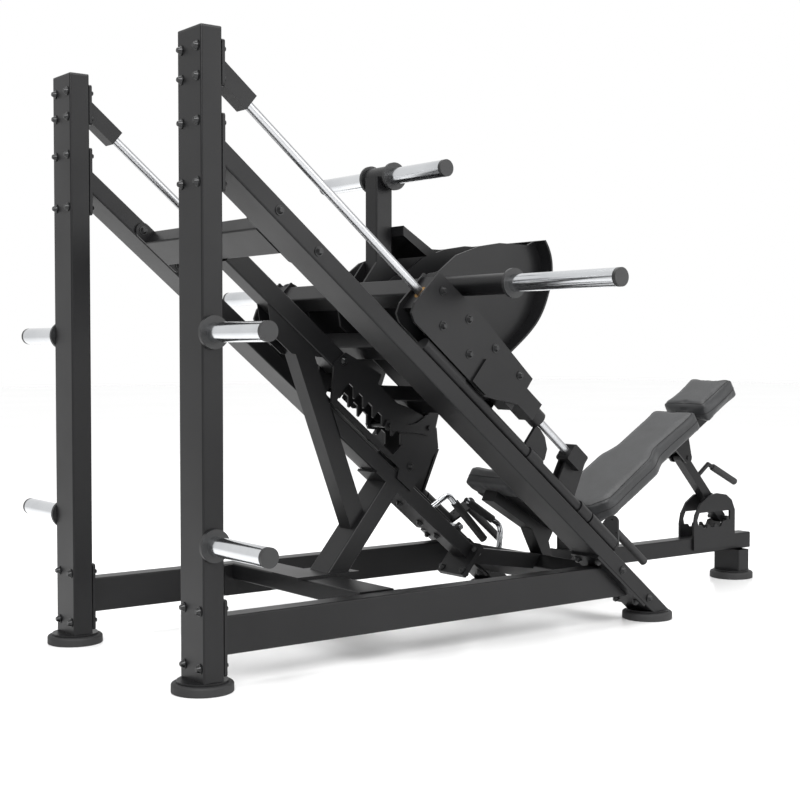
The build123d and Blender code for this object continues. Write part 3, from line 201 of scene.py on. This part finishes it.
# ---- Pads -------------------------------------------------------------------------------------------
def slab(name, origin, along, up, outline, thickness, crown, edge):
    """Closed pad: each ring is the outline drawn in towards its middle, over a rounded edge, with the
    face raised by crown times (1 - share squared), and the underside flat."""
    across = np.cross(up, along)
    middle = outline.mean(0)
    arms = outline - middle
    length = np.linalg.norm(arms, axis=1, keepdims=True)
    turn = np.linspace(0, np.pi / 2, 6)
    shares, insets, heights = [], [], []
    for share in np.linspace(0.02, 0.9, 12):
        shares.append(share)
        insets.append(0.0)
        heights.append(thickness + crown * (1 - share ** 2))
    for t in turn:
        shares.append(1.0)
        insets.append(edge * (1 - np.sin(t)))
        heights.append(thickness - edge * (1 - np.cos(t)))
    for t in turn[::-1]:
        shares.append(1.0)
        insets.append(edge * (1 - np.sin(t)))
        heights.append(edge * (1 - np.cos(t)))
    for share in np.linspace(0.9, 0.02, 8):
        shares.append(share)
        insets.append(0.0)
        heights.append(0.0)
    rings = []
    for share, inset, height in zip(shares, insets, heights):
        flat = middle + arms * share * (1 - inset / length)
        rings.append(origin + flat[:, :1] * along + flat[:, 1:] * across + height * up)
    points = np.concatenate(rings)
    count = len(outline)
    faces = grid_faces(len(rings), count, True)
    faces.append(list(range(count))[::-1])
    faces.append([len(points) - count + i for i in range(count)])
    piece = mesh_object(name, points, faces, leatherette)
    shell = bmesh.new()
    shell.from_mesh(piece.data)
    bmesh.ops.recalc_face_normals(shell, faces=shell.faces)
    shell.to_mesh(piece.data)
    shell.free()
    return piece


def rounded_outline(corners, radius, spacing=0.006):
    """Closed outline of straight sides, its corners smoothed by averaging over a radius of arc."""
    corners = np.array(corners, float)
    sides = np.diff(np.vstack([corners, corners[:1]]), axis=0)
    lengths = np.linalg.norm(sides, axis=1)
    ends = np.concatenate([[0], np.cumsum(lengths)])
    steps = int(ends[-1] / spacing)
    travel = np.linspace(0, ends[-1], steps, endpoint=False)
    closed = np.vstack([corners, corners[:1]])
    outline = np.stack([np.interp(travel, ends, closed[:, i]) for i in (0, 1)], 1)
    reach = max(1, int(radius / spacing))
    window = np.hanning(2 * reach + 3)[1:-1]
    window /= window.sum()
    padded = np.vstack([outline[-reach:], outline, outline[:reach]])
    return np.stack([np.convolve(padded[:, i], window, "valid") for i in (0, 1)], 1)


def puff(piece, cap):
    """Swells a pad as foam under a tight cover: remesh, cloth under pressure, no point moved past cap."""
    remesh = piece.modifiers.new("remesh", "REMESH")
    remesh.mode = "VOXEL"
    remesh.voxel_size = 0.006
    remesh.use_smooth_shade = True
    bpy.context.view_layer.objects.active = piece
    piece.select_set(True)
    bpy.ops.object.modifier_apply(modifier=remesh.name)
    start = np.array([v.co for v in piece.data.vertices])
    cloth = piece.modifiers.new("cloth", "CLOTH")
    cloth.settings.use_pressure = True
    cloth.settings.uniform_pressure_force = 4.0
    cloth.settings.effector_weights.gravity = 0.0
    cloth.point_cache.frame_start = 1
    cloth.point_cache.frame_end = 20
    scene = bpy.context.scene
    for step in range(1, 21):
        scene.frame_set(step)
    shaped = piece.evaluated_get(bpy.context.evaluated_depsgraph_get())
    moved = np.array([v.co for v in shaped.data.vertices]) - start
    piece.modifiers.remove(cloth)
    scene.frame_set(1)
    reach = np.linalg.norm(moved, axis=1, keepdims=True)
    kept = start + moved * np.minimum(1, cap / np.maximum(reach, 1e-9))
    piece.data.vertices.foreach_set("co", kept.ravel())
    smooth = piece.modifiers.new("smooth", "SMOOTH")
    smooth.iterations = 3
    bpy.ops.object.modifier_apply(modifier=smooth.name)
    piece.data.update()
    piece.select_set(False)


def welt(name, piece, path, radius):
    """Round cord of thread laid on a pad: the path is dropped onto the pad's nearest surface and a
    circle is carried along it, square to the path."""
    tree_of_pad = BVHTree.FromObject(piece, bpy.context.evaluated_depsgraph_get())
    on = np.array([tree_of_pad.find_nearest(Vector(p))[0] for p in path])
    ahead = np.roll(on, -1, axis=0) - np.roll(on, 1, axis=0)
    ahead /= np.linalg.norm(ahead, axis=1, keepdims=True)
    out = on - on.mean(0)
    out -= ahead * (out * ahead).sum(1, keepdims=True)
    out /= np.linalg.norm(out, axis=1, keepdims=True)
    beside = np.cross(ahead, out)
    angle = np.linspace(0, 2 * np.pi, 8, endpoint=False)
    ring = out[:, None] * np.cos(angle)[None, :, None] + beside[:, None] * np.sin(angle)[None, :, None]
    points = (on[:, None] + radius * ring).reshape(-1, 3)
    count = len(on)
    row, column = np.meshgrid(np.arange(count), np.arange(8), indexing="ij")
    after, beyond = (row + 1) % count, (column + 1) % 8
    faces = np.stack([row * 8 + column, row * 8 + beyond, after * 8 + beyond, after * 8 + column], -1)
    return mesh_object(name, points, faces.reshape(-1, 4).tolist(), seam_cord)


def finished_pad(name, node, body, origin, along, up, corners, corner_radius, thickness, crown):
    """One cushion with its two sewn edges, standing for its CAD solid."""
    outline = rounded_outline(corners, corner_radius)
    piece = slab(name, origin, along, up, outline, thickness, crown, 0.009)
    puff(piece, 0.005)
    across = np.cross(up, along)
    middle = outline.mean(0)
    for tag, height, inset in (("upper_seam", thickness + 0.004, 0.014), ("lower_seam", thickness * 0.5, 0.0)):
        arms = outline - middle
        flat = middle + arms * (1 - inset / np.linalg.norm(arms, axis=1, keepdims=True))
        path = origin + flat[:, :1] * along + flat[:, 1:] * across + height * up
        seam = welt(f"{name}_{tag}", piece, path, 0.0013)
        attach(seam, body)
    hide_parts(node)
    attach(piece, body)
    return piece


back_along = np.array([math.cos(BACK), 0.0, math.sin(BACK)])
back_up = np.array([-math.sin(BACK), 0.0, math.cos(BACK)])
seat_along = np.array([math.cos(BACK), 0.0, -math.sin(BACK)])
seat_up = np.array([math.sin(BACK), 0.0, math.cos(BACK)])
WIDE, NARROW = 0.132, 0.100
back_corners = [(0.045, -0.075), (0.10, -WIDE), (0.36, -WIDE), (0.425, -NARROW), (0.668, -NARROW),
                (0.668, NARROW), (0.425, NARROW), (0.36, WIDE), (0.10, WIDE), (0.045, 0.075)]
finished_pad("back_cushion", "back_pad", "backrest", HINGE + 0.006 * back_up, back_along, back_up, back_corners,
             0.030, 0.069, 0.003)
finished_pad("head_cushion", "head_pad", "backrest", HINGE + 0.001 * back_up, back_along, back_up,
             [(0.706, -NARROW), (0.894, -NARROW), (0.894, NARROW), (0.706, NARROW)], 0.022, 0.069, 0.003)
finished_pad("seat_cushion", "seat_pad", "frame", SEAT_EDGE - 0.069 * seat_up, seat_along, seat_up,
             [(0.006, -0.124), (0.346, -0.124), (0.346, 0.124), (0.006, 0.124)], 0.038, 0.063, 0.003)

# ---- Floor, lights, camera -----------------------------------------------------------------------------
# Pale studio floor, a painted board with a faint satin.
floor_paint, tree, surface, place = new_material("pale_floor_paint", Roughness=0.2, IOR=1.45)
mottled(tree, surface, place, "f6f6f6", "f9f9f9", 0.5)
floor = mesh_object("studio_floor", np.array([[-30, -30, 0], [30, -30, 0], [30, 30, 0], [-30, 30, 0]], float),
                    [[0, 1, 2, 3]], floor_paint, smooth=False)

world = bpy.data.worlds.new("studio")
bpy.context.scene.world = world
world.use_nodes = True
world.node_tree.nodes["Background"].inputs["Color"].default_value = (1, 1, 1, 1)
world.node_tree.nodes["Background"].inputs["Strength"].default_value = 1.0

for name, spot, power, size in (("key", (-4.0, -4.5, 4.5), 420, 3.0), ("fill", (2.5, -5.0, 2.5), 130, 3.5),
                                ("top", (0.0, 0.5, 5.5), 220, 4.0)):
    light = bpy.data.lights.new(name, "AREA")
    light.energy = power
    light.size = size
    lamp = bpy.data.objects.new(name, light)
    lamp.location = spot
    lamp.rotation_euler = (Vector((0, 0, 0.7)) - Vector(spot)).to_track_quat("-Z", "Y").to_euler()
    bpy.context.collection.objects.link(lamp)

camera_data = bpy.data.cameras.new("camera")
camera_data.sensor_width = 36.0
camera_data.lens = 63.53
camera = bpy.data.objects.new("camera", camera_data)
camera.location = (UPRIGHT_X - 1.7507, -3.4984, 0.856)
yaw, dip = math.radians(52.67), math.radians(1.94)
looking = Vector((math.cos(yaw) * math.cos(dip), math.sin(yaw) * math.cos(dip), -math.sin(dip)))
camera.rotation_euler = looking.to_track_quat("-Z", "Y").to_euler()
bpy.context.collection.objects.link(camera)
bpy.context.scene.camera = camera
bpy.context.scene.view_settings.view_transform = "Standard"
